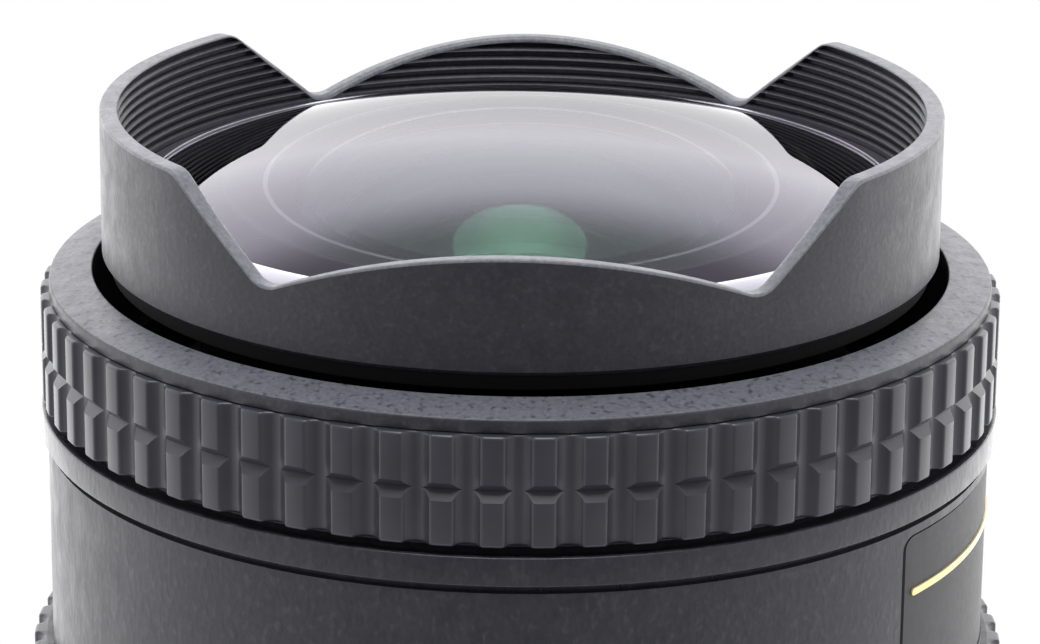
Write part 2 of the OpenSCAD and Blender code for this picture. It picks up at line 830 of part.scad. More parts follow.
module aperture_spring() {
    last = len(spring_path) - 1;
    points = [for (i = [0:last]) each wire_ring(spring_path, i, spring_wire_r)];
    walls = [for (i = [0:last - 1], j = [0:wire_sides - 1]) let (
            a = i * wire_sides + j,
            b = i * wire_sides + (j + 1) % wire_sides
        ) each [[a, b, b + wire_sides], [a, b + wire_sides, a + wire_sides]]];
    caps = [for (j = [1:wire_sides - 2]) each [[0, j + 1, j],
            [last * wire_sides, last * wire_sides + j, last * wire_sides + j + 1]]];
    color(steel_grey) polyhedron(points, concat(walls, caps));
}

// Least gap between turns of the spring, over points at least half a turn apart
echo(spring_gap = min([for (i = [0:len(spring_path) - 1], j = [i + 1:len(spring_path) - 1])
    if (j - i > spring_rings / 2) norm(spring_path[i] - spring_path[j])]) - 2 * spring_wire_r);

// Rear end

module rear_barrel() {
    hole_r = 23.4;
    foot = [30.1, 31.2];
    color(black_paint) difference() {
        lathe([
            [hole_r, flange_z], [foot[0], flange_z], [foot[1], 3.4], [rear_top_r, 8.2],
            [rear_top_r, barrel_foot - 0.2], [rear_top_r - 0.2, barrel_foot], [rear_wall_r, barrel_foot],
            [rear_wall_r, guide_z[0]], [hole_r, guide_z[0]]
        ]);
        for (a = mount_screw_angles) rotate(a) translate([mount_screw_at, 0, flange_z - over])
            cylinder(r = mount_screw_r + pin_gap, h = 3);
        radial_pin(dot_r + pin_gap, dot_from[0] - 0.1, rear_top_r + over, dot_z, dot_angle);
    }
}

module bayonet_mount() {
    color(chrome_grey) difference() {
        union() {
            tube([tube_in, flange_r], [0, flange_z]);
            tube([tube_in, bayonet_r], [-bayonet_length, 0.5]);
            for (span = lug_spans) sector([bayonet_r - 0.5, lug_r], lug_z, span[0], span[1]);
            sector([shelf_in, tube_in + 0.5], shelf_z,
                   tab_angle + aperture_turn + 2 * swing_margin, tab_angle + 360 - 2 * swing_margin);
        }
        for (a = mount_screw_angles) rotate(a) translate([mount_screw_at, 0, 0]) {
            translate([0, 0, -over]) cylinder(r = mount_screw_r + pin_gap, h = flange_z + 2 * over);
            translate([0, 0, -over]) cylinder(r = mount_screw_head_r + pin_gap, h = over + 0.9);
        }
        for (a = baffle_screw_angles) rotate(a) translate([baffle_screw_at, 0, shelf_z[0] - over])
            cylinder(r = 0.5 + pin_gap, h = 2 * over + shelf_z[1] - shelf_z[0]);
        rotate(lock_hole_angle) translate([lock_hole_at, 0, -over])
            cylinder(r = lock_hole_r, h = over + lock_hole_depth);
    }
}

// A head with a cross slot and a shank above it
module screw(head_r, head, shank_r, length) {
    difference() {
        cylinder(r = head_r, h = head);
        for (a = [0, 90]) rotate(a) cube([1.4 * head_r, 0.3 * head_r, head], center = true);
    }
    translate([0, 0, head]) cylinder(r = shank_r, h = length - head);
}

module mount_screws() {
    color(steel_grey) for (a = mount_screw_angles) rotate(a) translate([mount_screw_at, 0, 0.05])
        screw(mount_screw_head_r, 0.8, mount_screw_r, 4.4);
}

module rear_baffle() {
    color(inner_black) difference() {
        translate([0, 0, baffle_z[0]]) cylinder(r = tube_in - pin_gap, h = baffle_z[1] - baffle_z[0]);
        translate([0, 0, baffle_z[0] - over]) linear_extrude(3 * over) rounded_window(baffle_window, 2);
        sector([finger_r[0] - 0.5, tube_in + over], [baffle_z[0] - over, baffle_z[1] + over],
               tab_angle - swing_margin, tab_angle + aperture_turn + swing_margin);
        for (a = baffle_screw_angles) rotate(a) translate([baffle_screw_at, 0, baffle_z[0] - over])
            cylinder(r = 0.5 + pin_gap, h = 3 * over);
    }
}

module baffle_screws() {
    head = 0.5;
    color(steel_grey) for (a = baffle_screw_angles)
        rotate(a) translate([baffle_screw_at, 0, baffle_z[0] - head]) screw(0.9, head, 0.5, 2);
}

module contact_block() {
    color(inner_black) difference() {
        sector(contact_r, contact_z, contact_span[0], contact_span[1]);
        contact_places() translate([0, 0, contact_z[0] - over]) cylinder(r = 0.6 + pin_gap, h = over + 0.8);
    }
}

module contact_places() {
    step = (contact_span[1] - contact_span[0]) / contact_count;
    for (i = [0:contact_count - 1]) rotate(contact_span[0] + (i + 0.5) * step)
        translate([(contact_r[0] + contact_r[1]) / 2, 0, 0]) children();
}

module contact_pins() {
    color(brass) contact_places() translate([0, 0, contact_z[0] - 0.15]) cylinder(r = 0.6, h = 0.9);
}

module circuit_board() {
    color("#2f5a3c") sector([26.8, rear_wall_r - 0.2], [guide_z[0], guide_z[0] + 1], 300, 430);
}

module index_dot() {
    color("white") radial_pin(dot_r, dot_from[0], dot_from[1], dot_z, dot_angle);
}

hood();
front_retainer();
front_element();
second_element();
second_retainer();
front_cell();
front_followers();
focus_ring();
focus_rubber();
focus_key();
focus_sleeve();
focus_cell();
third_element();
focus_doublet_front();
focus_doublet_rear();
focus_retainers();
focus_pins();
front_collar();
main_barrel();
name_plate();
guide_barrel();
zoom_ring();
zoom_rubber();
zoom_drive_pins();
cam_barrel();
rear_cell();
rear_element_1();
rear_doublet_front();
rear_doublet_rear();
rear_element_2();
rear_element_3();
rear_spacers();
rear_retainer();
rear_followers();
iris_base();
iris_cover();
iris_ring();
iris_blade(0);  // iris_blade_1
iris_blade(1);  // iris_blade_2
iris_blade(2);  // iris_blade_3
iris_blade(3);  // iris_blade_4
iris_blade(4);  // iris_blade_5
iris_blade(5);  // iris_blade_6
aperture_lever();
aperture_spring();
rear_barrel();
bayonet_mount();
mount_screws();
rear_baffle();
baffle_screws();
contact_block();
contact_pins();
circuit_board();
index_dot();
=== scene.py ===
"""Looks of a fisheye zoom lens: petal hood, domed glass, ribbed grips, lacquered barrel and mount."""

import math

import bmesh
import bpy
from bpy.props import FloatProperty, FloatVectorProperty, IntProperty, PointerProperty
from mathutils import Euler, Matrix, Vector


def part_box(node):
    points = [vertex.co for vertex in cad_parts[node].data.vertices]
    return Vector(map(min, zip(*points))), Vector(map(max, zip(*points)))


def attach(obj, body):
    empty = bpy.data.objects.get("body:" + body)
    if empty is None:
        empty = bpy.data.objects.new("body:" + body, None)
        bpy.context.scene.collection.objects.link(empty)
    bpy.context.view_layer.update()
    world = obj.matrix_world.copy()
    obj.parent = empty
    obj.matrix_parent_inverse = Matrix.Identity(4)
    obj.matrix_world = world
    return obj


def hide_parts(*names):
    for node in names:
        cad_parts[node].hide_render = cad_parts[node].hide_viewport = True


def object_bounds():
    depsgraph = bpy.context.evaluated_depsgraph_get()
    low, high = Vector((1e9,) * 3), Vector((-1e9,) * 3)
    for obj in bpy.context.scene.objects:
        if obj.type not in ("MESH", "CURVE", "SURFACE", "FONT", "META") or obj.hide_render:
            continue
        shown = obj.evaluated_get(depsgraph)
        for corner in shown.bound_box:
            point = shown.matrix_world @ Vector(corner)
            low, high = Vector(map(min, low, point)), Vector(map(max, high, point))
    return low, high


bl_info = {
    "name": "Fisheye lens",
    "version": (1, 0, 0),
    "blender": (4, 5, 0),
    "location": "View3D > Sidebar > Lens",
    "description": "Dresses the solids of a fisheye zoom lens",
    "category": "Add Mesh",
}

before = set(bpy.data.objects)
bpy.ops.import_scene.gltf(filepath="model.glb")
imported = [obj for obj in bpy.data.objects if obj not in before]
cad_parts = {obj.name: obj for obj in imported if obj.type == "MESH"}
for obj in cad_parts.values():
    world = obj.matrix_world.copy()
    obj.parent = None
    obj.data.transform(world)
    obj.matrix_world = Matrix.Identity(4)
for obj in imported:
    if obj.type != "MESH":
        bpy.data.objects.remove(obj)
CAD_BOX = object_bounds()

MM = 0.001
TURN = 2 * math.pi
# Steps round a turned piece
STEPS = 240


def colour(text):
    """Linear colour of an sRGB hex value."""
    parts = [int(text[i:i + 2], 16) / 255 for i in (1, 3, 5)]
    return [c / 12.92 if c <= 0.04045 else ((c + 0.055) / 1.055) ** 2.4 for c in parts] + [1.0]


def span(node):
    """Outer radius, foot and head of a turned CAD node."""
    low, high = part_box(node)
    return high.x, low.z, high.z


def length(name, description, default):
    """A length that a user may change, in metres."""
    return FloatProperty(name=name, description=description, default=default, unit="LENGTH", precision=5)


def angle(name, description, degrees):
    """An angle that a user may change."""
    return FloatProperty(name=name, description=description, default=math.radians(degrees), subtype="ANGLE")


def fraction(name, description, default):
    """A share of a whole that a user may change."""
    return FloatProperty(name=name, description=description, default=default, min=0, max=1,
                         subtype="FACTOR")


def refraction(name, description, default):
    """An index of refraction that a user may change."""
    return FloatProperty(name=name, description=description, default=default, min=1)


def tint(name, description, default):
    """A colour that a user may change, given as sRGB hex."""
    return FloatVectorProperty(name=name, description=description, default=colour(default), size=4,
                               min=0, max=1, subtype="COLOR")


class HoodSizes(bpy.types.PropertyGroup):
    """Sizes of the petal hood"""
    radius: length("Radius", "Outer radius of the hood", span("hood")[0])
    foot: length("Foot", "Height of the hood's lower edge", span("hood")[1])
    tall: length("Tall petals", "Height of the two tall petals", span("hood")[2])
    low: length("Low petals", "Height of the two low petals at their middle", 68.6 * MM)
    corner: length("Corners", "Height of the corners between the petals", 64.7 * MM)
    corner_x: length("Corner distance", "Distance of the corners from the middle", 16.1 * MM)
    shoulder_x: length("Shoulder distance", "Distance of the shoulders from the middle", 22.3 * MM)
    corner_round: length("Corner rounding", "Rounding of the corners", 1.5 * MM)
    shoulder_round: length("Shoulder rounding", "Rounding of the shoulders", 1.2 * MM)
    wall: length("Wall", "Thickness of the hood's wall", 1.25 * MM)
    rim: length("Rim rounding", "Rounding of the outer edge of the rim", 0.2 * MM)
    lip: length("Inner rounding", "Rounding of the rim's inner edge on the tall petals", 0.12 * MM)
    low_lip: length("Low rounding", "Rounding of the rim's inner edge on the low petals", 0.4 * MM)
    foot_bevel: length("Foot bevel", "Bevel of the outer edge at the foot", 0.3 * MM)
    groove_depth: length("Groove depth", "Depth of the grooves inside the hood", 0.45 * MM)
    land: length("Land", "Height over which the grooves run out below the rim", 0.2 * MM)
    groove_foot: length("Groove foot", "Height of the lowest groove", 64.8 * MM)
    groove_head: length("Groove head", "Height of the land above the grooves", 0.1 * MM)
    grooves: IntProperty(name="Grooves", description="Grooves inside the hood", default=9, min=2, max=12)
    ledge_in: length("Ledge opening", "Inner radius of the ledge ring round the glass", 26.35 * MM)
    ledge_seat: length("Ledge seat", "Inner radius of the ledge ring beside the glass", 27.65 * MM)
    ledge_drop: length("Ledge slope", "How far the ledge ring falls towards the hood", 0.63 * MM)
    ledge_edge: length("Ledge edge", "Thickness of the ledge ring at its inner edge", 0.115 * MM)
    ledge_lip: length("Ledge lip", "Width of the flat lip on the ledge ring", 0.45 * MM)


class GlassSizes(bpy.types.PropertyGroup):
    """Sizes and refraction of the glasses"""
    front_curve: length("Front curve", "Radius of curvature of the front face", 74 * MM)
    rear_curve: length("Rear curve", "Radius of curvature of the hollow rear face", 33.8 * MM)
    middle: length("Middle", "Thickness of the front glass in its middle", 2.6 * MM)
    front_ior: refraction("Front IOR", "Index of the front face", 1.67)
    hollow_ior: refraction("Hollow IOR", "Index that stands for the coated hollow face", 1.25)
    inner_ior: refraction("Inner IOR", "Index that stands for the coated glasses inside", 1.2)
    cell_lip: length("Cell lip", "Radius inside which the front cell is bare", 14.7 * MM)
    retainer_lip: length("Retainer lip", "Radius inside which the second retainer is worn", 17.2 * MM)


class RingSizes(bpy.types.PropertyGroup):
    """Sizes of the focus ring, the collar and the zoom ring"""
    focus_bore: length("Focus bore", "Inner radius of the focus ring", 31.6 * MM)
    focus_core: length("Focus core", "Radius of the focus ring under its grip", 32.8 * MM)
    focus_foot: length("Focus foot", "Width of the flange under the focus grip", 0.35 * MM)
    focus_flange: length("Focus flange", "Height of the flange under the focus grip", 0.08 * MM)
    face_in: length("Face opening", "Inner radius of the sloping face", 30.25 * MM)
    face_rise: length("Face rise", "How far the sloping face climbs towards the hood", 0.64 * MM)
    face_lip: length("Lip", "Height of the lip between the face and the grip", 0.9 * MM)
    face_back: length("Face thickness", "Thickness of the sloping face at its inner edge", 1.19 * MM)
    collar_in: length("Collar bore", "Inner radius of the collar", 31.55 * MM)
    collar_rim: length("Collar rim", "Width of the collar's raised rim", 0.35 * MM)
    collar_drop: length("Collar recess", "Depth of the collar's top inside its rim", 0.65 * MM)
    groove_in: length("Groove", "Radius of the groove under the collar", 33.1 * MM)
    groove_height: length("Groove height", "Height of the groove under the collar", 0.6 * MM)
    zoom_bore: length("Zoom bore", "Inner radius of the zoom ring", 32.2 * MM)
    zoom_core: length("Zoom core", "Radius of the zoom ring under its grip", 33.6 * MM)
    zoom_band: length("Zoom band", "Height of the band with the figures", 4.1 * MM)
    zoom_lip_r: length("Zoom lip", "Radius of the zoom ring above its grip", 34.1 * MM)
    zoom_lip: length("Zoom lip height", "Height of the zoom ring above its grip", 0.15 * MM)
    zoom_round: length("Zoom rounding", "Rounding of the zoom ring's lower edge", 0.3 * MM)
    edge: length("Edges", "Rounding of the small edges", 0.12 * MM)


class GripSizes(bpy.types.PropertyGroup):
    """Sizes of the ribbed grips"""
    focus_r: length("Focus grip", "Radius of the focus grip over its pads", 33.95 * MM)
    zoom_r: length("Zoom grip", "Radius of the zoom grip over its pads", 35 * MM)
    seat: length("Seat", "Gap between a grip and the ring under it", 0.05 * MM)
    pads: IntProperty(name="Pads", description="Pads round each grip", default=64, min=24, max=96)
    phase: angle("Phase", "Angle of the first valley", 1.2)
    share: FloatProperty(name="Pad share", description="Share of the pitch that a pad takes", default=0.47,
                         min=0.2, max=0.8, subtype="FACTOR")
    depth: length("Valley depth", "Depth of the valleys between the pads", 0.62 * MM)
    end: length("End rounding", "Rounding of the grips' upper and lower edges", 0.24 * MM)
    notch_depth: length("Notch depth", "Depth of the notches between the rows", 0.56 * MM)
    notch_above: length("Notch above", "Height of a notch above its deepest line", 0.55 * MM)
    notch_below: length("Notch below", "Height of a notch below its deepest line", 0.68 * MM)
    edge: length("Edge rounding", "Rounding of the pads' long edges", 0.3 * MM)


class MarkSizes(bpy.types.PropertyGroup):
    """Sizes of the gold line and of the zoom scale"""
    line_z: length("Line height", "Height of the gold line on the plate", 42.4 * MM)
    line_width: length("Line width", "Width of the gold line", 0.5 * MM)
    line_lift: length("Line lift", "How far the gold line stands out of the plate", 0.12 * MM)
    line_angle: angle("Line angle", "Angle that the gold line covers", 72.2)
    index: angle("Index", "Angle of the index mark and of the first figure", 280)
    index_length: length("Index length", "Length of the index mark", 2 * MM)
    index_width: length("Index width", "Width of the index mark", 0.5 * MM)
    index_drop: length("Index drop", "From the rear barrel's upper edge to the index mark", 1.5 * MM)
    turn: angle("Zoom turn", "Turn of the zoom ring from the first figure to the last", 60)
    figure: length("Figures", "Height of the zoom figures", 2.2 * MM)
    print_lift: length("Print", "Thickness of the printed marks", 0.03 * MM)


class FinishColours(bpy.types.PropertyGroup):
    """Colours of the finishes"""
    lacquer: tint("Lacquer", "Dark lacquer on the barrel, the hood and the rings", "#272730")
    fleck: tint("Flecks", "Pale grains in the lacquer", "#4c4c54")
    # Paler lacquer as a painted highlight on the hood's rim and crests, and as wear on the second retainer's
    # lip
    worn: tint("Worn", "Lacquer worn pale on the rim and the crests of the hood", "#6c6c74")
    # The paler lacquer on the focus ring's face is a painted highlight where the top light falls
    face: tint("Face", "Paler lacquer on the face of the focus ring", "#5e5e67")
    ledge: tint("Ledge", "Ledge ring round the front glass", "#bcbac4")
    rubber: tint("Rubber", "Ribbed grips", "#2e2e37")
    inner: tint("Inside", "Blackened parts inside the lens", "#0d0d0f")
    bare: tint("Bare edge", "Edge of the front cell without its paint", "#e4e4e0")
    glass: tint("Glass", "Clear optical glass", "#ffffff")
    glare: tint("Glare", "Tint of the front coating", "#e4d6ff")
    inner_glare: tint("Inner glare", "Tint of the inner coatings", "#a8ffd8")
    plate: tint("Plate", "Bare plate in the barrel's pocket", "#242429")
    gold: tint("Line", "Gold line on the plate", "#e6d193")
    chrome: tint("Mount", "Satin chrome of the bayonet", "#c3c4c6")
    steel: tint("Steel", "Screws, lever and blades", "#8f9296")
    brass: tint("Brass", "Rollers, pins and contacts", "#c79f52")
    mark: tint("Marks", "White marks and figures", "#e4e4e0")
    board: tint("Board", "Solder mask of the circuit board", "#1d4a2c")


class StageSettings(bpy.types.PropertyGroup):
    """Camera, lamp and surroundings"""
    target: length("Target", "Height on the axis that the camera looks at", 54.87 * MM)
    distance: length("Distance", "From the target to the camera", 315.4 * MM)
    azimuth: angle("Azimuth", "Angle of the camera round the lens", 1.2)
    elevation: angle("Elevation", "Angle of the camera above the horizon", 17.89)
    roll: angle("Roll", "Tilt of the camera about its own axis", 0.51)
    focal: FloatProperty(name="Focal length", description="Focal length on a frame 36 mm wide",
                         default=153.2, unit="CAMERA")
    top: FloatProperty(name="Top lamp", description="Power of the soft lamp above", default=3.5,
                       unit="POWER")
    top_size: length("Top lamp size", "Width of the soft lamp above", 0.45)
    top_back: length("Top lamp offset", "How far the soft lamp stands behind the axis", -0.13)
    top_height: length("Top lamp height", "Height of the soft lamp", 0.72)
    sweep: FloatProperty(name="Sweep", description="Brightness of the white sweep behind the lens",
                         default=2.9, min=0)
    front: fraction("Front", "Share of the sweep's light on the side of the camera", 0.1)
    far: fraction("Far", "Share of the sweep's light straight behind the lens", 0.45)
    overhead: fraction("Overhead", "Share of the sweep's light overhead", 0.34)


SETTINGS = {"lens_hood": HoodSizes, "lens_glass": GlassSizes, "lens_rings": RingSizes,
            "lens_grip": GripSizes, "lens_marks": MarkSizes, "lens_finish": FinishColours,
            "lens_stage": StageSettings}


# Nodes and meshes

def add(tree, kind, inputs=None, **settings):
    """Add a node with its settings; an input takes a value or the output that feeds it."""
    node = tree.nodes.new(kind)
    for name, value in settings.items():
        setattr(node, name, value)
    for name, value in (inputs or {}).items():
        if isinstance(value, bpy.types.NodeSocket):
            tree.links.new(value, node.inputs[name])
        else:
            node.inputs[name].default_value = value
    return node


def blank(name):
    """A new material, its node tree and the coordinates of the piece."""
    material = bpy.data.materials.new(name)
    material.use_nodes = True
    tree = material.node_tree
    tree.nodes.clear()
    return material, tree, add(tree, "ShaderNodeTexCoord").outputs["Object"]


def finish(tree, surface):
    """Send a shader to the material's output."""
    add(tree, "ShaderNodeOutputMaterial", {"Surface": surface.outputs[0]})


def per(size_mm):
    """Scale of a pattern whose features are this many millimetres apart."""
    return 1 / (size_mm * MM)


def spread(tree, source, low, high, start=0.0, end=1.0, **settings):
    """Map a value from the range between start and end to the range between low and high."""
    inputs = {"Value": source, "From Min": start, "From Max": end, "To Min": low, "To Max": high}
    return add(tree, "ShaderNodeMapRange", inputs, **settings).outputs[0]


def noise(tree, place, size_mm, detail=2.0, roughness=0.5):
    """A cloudy pattern whose features are this many millimetres apart."""
    inputs = {"Vector": place, "Scale": per(size_mm), "Detail": detail, "Roughness": roughness}
    return add(tree, "ShaderNodeTexNoise", inputs).outputs[0]


def turned_lines(tree, place, radian_mm, distortion):
    """Rings round the axis, as a lathe leaves them; a radian of their wave takes this many millimetres."""
    radians = 20
    inputs = {"Vector": place, "Scale": per(radian_mm) / radians, "Distortion": distortion}
    return add(tree, "ShaderNodeTexWave", inputs, wave_type="RINGS", rings_direction="Z").outputs["Fac"]


def shaded(tree, tone, level):
    """A colour made darker or paler by a level."""
    return add(tree, "ShaderNodeVectorMath", {0: tone, "Scale": level}, operation="SCALE").outputs[0]


def ring_faces(count, steps):
    """Faces between columns of points that stand round the axis and close on themselves."""
    faces = []
    for i in range(steps):
        here = i * count
        there = (i + 1) % steps * count
        for j in range(count):
            k = (j + 1) % count
            faces.append((here + j, there + j, there + k, here + k))
    return faces


def lathe(profile):
    """Vertices and faces of a closed outline of (radius, height) turned round the axis."""
    verts = []
    for i in range(STEPS):
        a = TURN * i / STEPS
        verts += [(r * math.cos(a), r * math.sin(a), z) for r, z in profile]
    return verts, ring_faces(len(profile), STEPS)


def rounded(corners, steps=4):
    """A closed outline from its corners; a third value is the radius that rounds a corner."""
    points = []
    for i, corner in enumerate(corners):
        here = Vector(corner[:2])
        if len(corner) < 3:
            points.append(here)
            continue
        back = (Vector(corners[i - 1][:2]) - here).normalized()
        onward = (Vector(corners[(i + 1) % len(corners)][:2]) - here).normalized()
        half = math.acos(max(-1, min(1, back.dot(onward)))) / 2
        reach = corner[2] / math.tan(half)
        centre = here + (back + onward).normalized() * (corner[2] / math.sin(half))
        start = here + back * reach - centre
        turn = start.angle_signed(here + onward * reach - centre)
        for j in range(steps + 1):
            points.append(centre + Matrix.Rotation(-turn * j / steps, 2) @ start)
    return points


def smooth(mesh, crease=35):
    """Weld a mesh, turn its faces outwards and shade it smooth between creases."""
    weld = 0.002 * MM
    speck = 0.0005 * MM
    work = bmesh.new()
    work.from_mesh(mesh)
    bmesh.ops.remove_doubles(work, verts=work.verts, dist=weld)
    bmesh.ops.dissolve_degenerate(work, edges=work.edges, dist=speck)
    bmesh.ops.recalc_face_normals(work, faces=work.faces)
    work.to_mesh(mesh)
    work.free()
    mesh.shade_smooth()
    mesh.set_sharp_from_angle(angle=math.radians(crease))


def new_piece(name, shape, materials, body, replaced=(), marks=None, crease=35):
    """A piece from vertices and faces that rides on a body and may stand for CAD nodes.
    Marks give each face the number of its material."""
    mesh = bpy.data.meshes.new(name)
    mesh.from_pydata(shape[0], [], shape[1])
    for material in materials:
        mesh.materials.append(material)
    if marks:
        mesh.polygons.foreach_set("material_index", marks)
    smooth(mesh, crease)
    return settle(bpy.data.objects.new(name, mesh), body, replaced)


def settle(piece, body, replaced=()):
    """Put a piece in the scene, on its body."""
    if piece.name not in bpy.context.scene.collection.objects:
        bpy.context.scene.collection.objects.link(piece)
    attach(piece, body)
    if replaced:
        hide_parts(*replaced)
    return piece


def dress(material, *nodes):
    """Give CAD nodes a material."""
    for name in nodes:
        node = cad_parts[name]
        if not node.material_slots:
            node.data.materials.append(material)
        for place in node.material_slots:
            place.material = material


def once(make):
    """A finish that is made the first time it is asked for."""
    made = {}

    def ready(*options):
        if options not in made:
            made[options] = make(bpy.context.scene.lens_finish, *options)
        return made[options]
    return ready


# Finishes

@once
def speckled_lacquer(colours, name, stretch, grains, gloss=0.36):
    """Textured matte lacquer sprayed on aluminium: nearly black from the front, pale at a slant, softly
    mottled and strewn with small pale grains, which are longer along the axis where stretch is below 1.
    The face of the focus ring and the rim and crests of the hood have a paler coat with dark grains, a
    painted highlight where the light falls on them."""
    material, tree, place = blank(name)
    # The pale coats are painted highlights on the focus ring's face and on the hood's rim and crests
    highlight_coats = {"face_lacquer": colours.face, "worn_lacquer": colours.worn}
    tone = highlight_coats.get(name, colours.lacquer)
    fleck = colours.lacquer if name in highlight_coats else colours.fleck
    place = add(tree, "ShaderNodeMapping", {"Vector": place, "Scale": (1, 1, stretch)}).outputs[0]
    mottle = noise(tree, place, 1.6, 6.0, 0.65)
    flecks = noise(tree, place, 0.45, 2.0, 0.4)
    grain = noise(tree, place, 0.3, 3.0)
    patch = spread(tree, mottle, 0.0, 0.15, 0.35, 0.7)
    spot = spread(tree, flecks, 0.0, grains, 0.56, 0.72)
    pale = add(tree, "ShaderNodeMath", {0: patch, 1: spot}, operation="ADD", use_clamp=True)
    mixed = add(tree, "ShaderNodeMix", {"Factor": pale.outputs[0], "A": tone, "B": fleck},
                data_type="RGBA")
    shade = shaded(tree, mixed.outputs["Result"], spread(tree, grain, 0.8, 1.2, 0.3, 0.7))
    rough = spread(tree, mottle, gloss, gloss + 0.14, 0.3, 0.7)
    bump = add(tree, "ShaderNodeBump", {"Height": flecks, "Strength": 0.5, "Distance": 0.05 * MM})
    finish(tree, add(tree, "ShaderNodeBsdfPrincipled", {
        "Base Color": shade, "Roughness": rough, "Normal": bump.outputs[0], "IOR": 1.45}))
    return material


@once
def moulded_rubber(colours):
    """Moulded rubber: dark and dull, with a fine grain from the mould and a soft sheen on its edges."""
    material, tree, place = blank("moulded_rubber")
    grain = noise(tree, place, 0.18, 3.0)
    wear = noise(tree, place, 4, 4.0)
    shade = shaded(tree, colours.rubber[:3], spread(tree, wear, 0.85, 1.2, 0.3, 0.7))
    rough = spread(tree, grain, 0.3, 0.42)
    bump = add(tree, "ShaderNodeBump", {"Height": grain, "Strength": 0.2, "Distance": 0.01 * MM})
    finish(tree, add(tree, "ShaderNodeBsdfPrincipled", {
        "Base Color": shade, "Roughness": rough, "Normal": bump.outputs[0], "IOR": 1.52}))
    return material


@once
def inner_black(colours, name="inner_black", lip=0.0, lip_tone="inner"):
    """Flat black paint inside the lens: it swallows light, and fine turned lines show in what is left.
    Inside the radius of a lip it is worn or gone, which shows as a thin pale ring."""
    material, tree, place = blank(name)
    flat = add(tree, "ShaderNodeVectorMath", {0: place, 1: (1, 1, 0)}, operation="MULTIPLY")
    radius = add(tree, "ShaderNodeVectorMath", {0: flat.outputs[0]}, operation="LENGTH")
    inside = add(tree, "ShaderNodeMath", {0: radius.outputs["Value"], 1: lip}, operation="LESS_THAN")
    lines = turned_lines(tree, place, 0.8, 0.3)
    shade = shaded(tree, colours.inner[:3], spread(tree, lines, 0.75, 1.25))
    mixed = add(tree, "ShaderNodeMix", {"Factor": inside.outputs[0], "A": shade,
                                        "B": getattr(colours, lip_tone)}, data_type="RGBA")
    rough = spread(tree, noise(tree, place, 0.3), 0.7, 0.9)
    finish(tree, add(tree, "ShaderNodeBsdfPrincipled", {
        "Base Color": mixed.outputs["Result"], "Roughness": rough, "IOR": 1.25}))
    return material


@once
def metal(colours, name, radian_mm, low, high):
    """A bare or plated metal: turned lines vary its gloss, as on screws, rollers and mounts."""
    material, tree, place = blank(name)
    tones = {"satin_chrome": colours.chrome, "turned_brass": colours.brass,
             "anodised_aluminium": colours.plate, "satin_ledge": colours.ledge}
    tone = tones.get(name, colours.steel)
    lines = turned_lines(tree, place, radian_mm, 1.0)
    smear = noise(tree, place, 3, 4.0)
    mix = add(tree, "ShaderNodeMath", {0: lines, 1: smear}, operation="MULTIPLY")
    rough = spread(tree, mix.outputs[0], low, high, 0.0, 0.6)
    shade = shaded(tree, tone[:3], spread(tree, smear, 0.88, 1.1))
    bump = add(tree, "ShaderNodeBump", {"Height": lines, "Strength": 0.15, "Distance": 0.01 * MM})
    finish(tree, add(tree, "ShaderNodeBsdfPrincipled", {
        "Base Color": shade, "Roughness": rough, "Normal": bump.outputs[0], "Metallic": 1.0}))
    return material


@once
def coated_glass(colours, name, ior):
    """Polished optical glass: clear, bright at a slant, its glare tinted by the coating.
    The coating takes glare away, which the lower IOR of an inner face stands for."""
    material, tree, place = blank(name)
    haze = noise(tree, place, 12, 3.0)
    clear = shaded(tree, colours.glass[:3], spread(tree, haze, 0.97, 1.0))
    glare = colours.glare if name == "front_glass" else colours.inner_glare
    finish(tree, add(tree, "ShaderNodeBsdfPrincipled", {
        "Base Color": clear, "Roughness": 0.0, "IOR": ior, "Transmission Weight": 1.0,
        "Specular Tint": glare}))
    return material


@once
def painted(colours, name, low, high):
    """Paint, print or foil on a small part: one colour, a little uneven in tone and gloss."""
    material, tree, place = blank(name)
    tones = {"gold_foil": colours.gold, "white_print": colours.mark, "solder_mask": colours.board,
             "edge_black": colours.inner}
    tone = tones.get(name, colours.plate)
    grain = noise(tree, place, 0.6, 4.0)
    shade = shaded(tree, tone[:3], spread(tree, grain, 0.82, 1.15))
    finish(tree, add(tree, "ShaderNodeBsdfPrincipled", {
        "Base Color": shade, "Roughness": spread(tree, grain, low, high),
        "Metallic": 0.3 if name == "gold_foil" else 0.0}))
    return material


# Shapes

def petal_rim(s):
    """Height of the hood's rim as a function of the distance from its middle plane."""
    sag = s.low - s.corner
    arc = (s.corner_x ** 2 + sag ** 2) / (2 * sag)
    centre = Vector((0, s.low - arc))
    slope = math.atan2(s.tall - s.corner, s.shoulder_x - s.corner_x)
    along = Vector((math.cos(slope), math.sin(slope)))
    across = Vector((-math.sin(slope), math.cos(slope)))
    top = Vector((s.shoulder_x, s.tall))
    offset = top + s.corner_round * across - centre
    run = offset.dot(along)
    reach = math.sqrt(run ** 2 - offset.length_squared + (arc + s.corner_round) ** 2) - run
    fillet = centre + offset + reach * along
    meet = math.atan2(fillet.y - centre.y, fillet.x - centre.x)
    arc_end = arc * math.cos(meet)
    fillet_end = fillet.x + s.corner_round * math.sin(slope)
    shoulder = top + s.shoulder_round * Vector((math.tan(slope / 2), -1))
    shoulder_start = shoulder.x - s.shoulder_round * math.sin(slope)

    def height(x):
        x = abs(x)
        if x < arc_end:
            return centre.y + math.sqrt(arc ** 2 - x ** 2)
        if x < fillet_end:
            return fillet.y - math.sqrt(max(0, s.corner_round ** 2 - (x - fillet.x) ** 2))
        if x < shoulder_start:
            return top.y + (x - top.x) * math.tan(slope)
        if x < shoulder.x:
            return shoulder.y + math.sqrt(max(0, s.shoulder_round ** 2 - (x - shoulder.x) ** 2))
        return s.tall
    return height


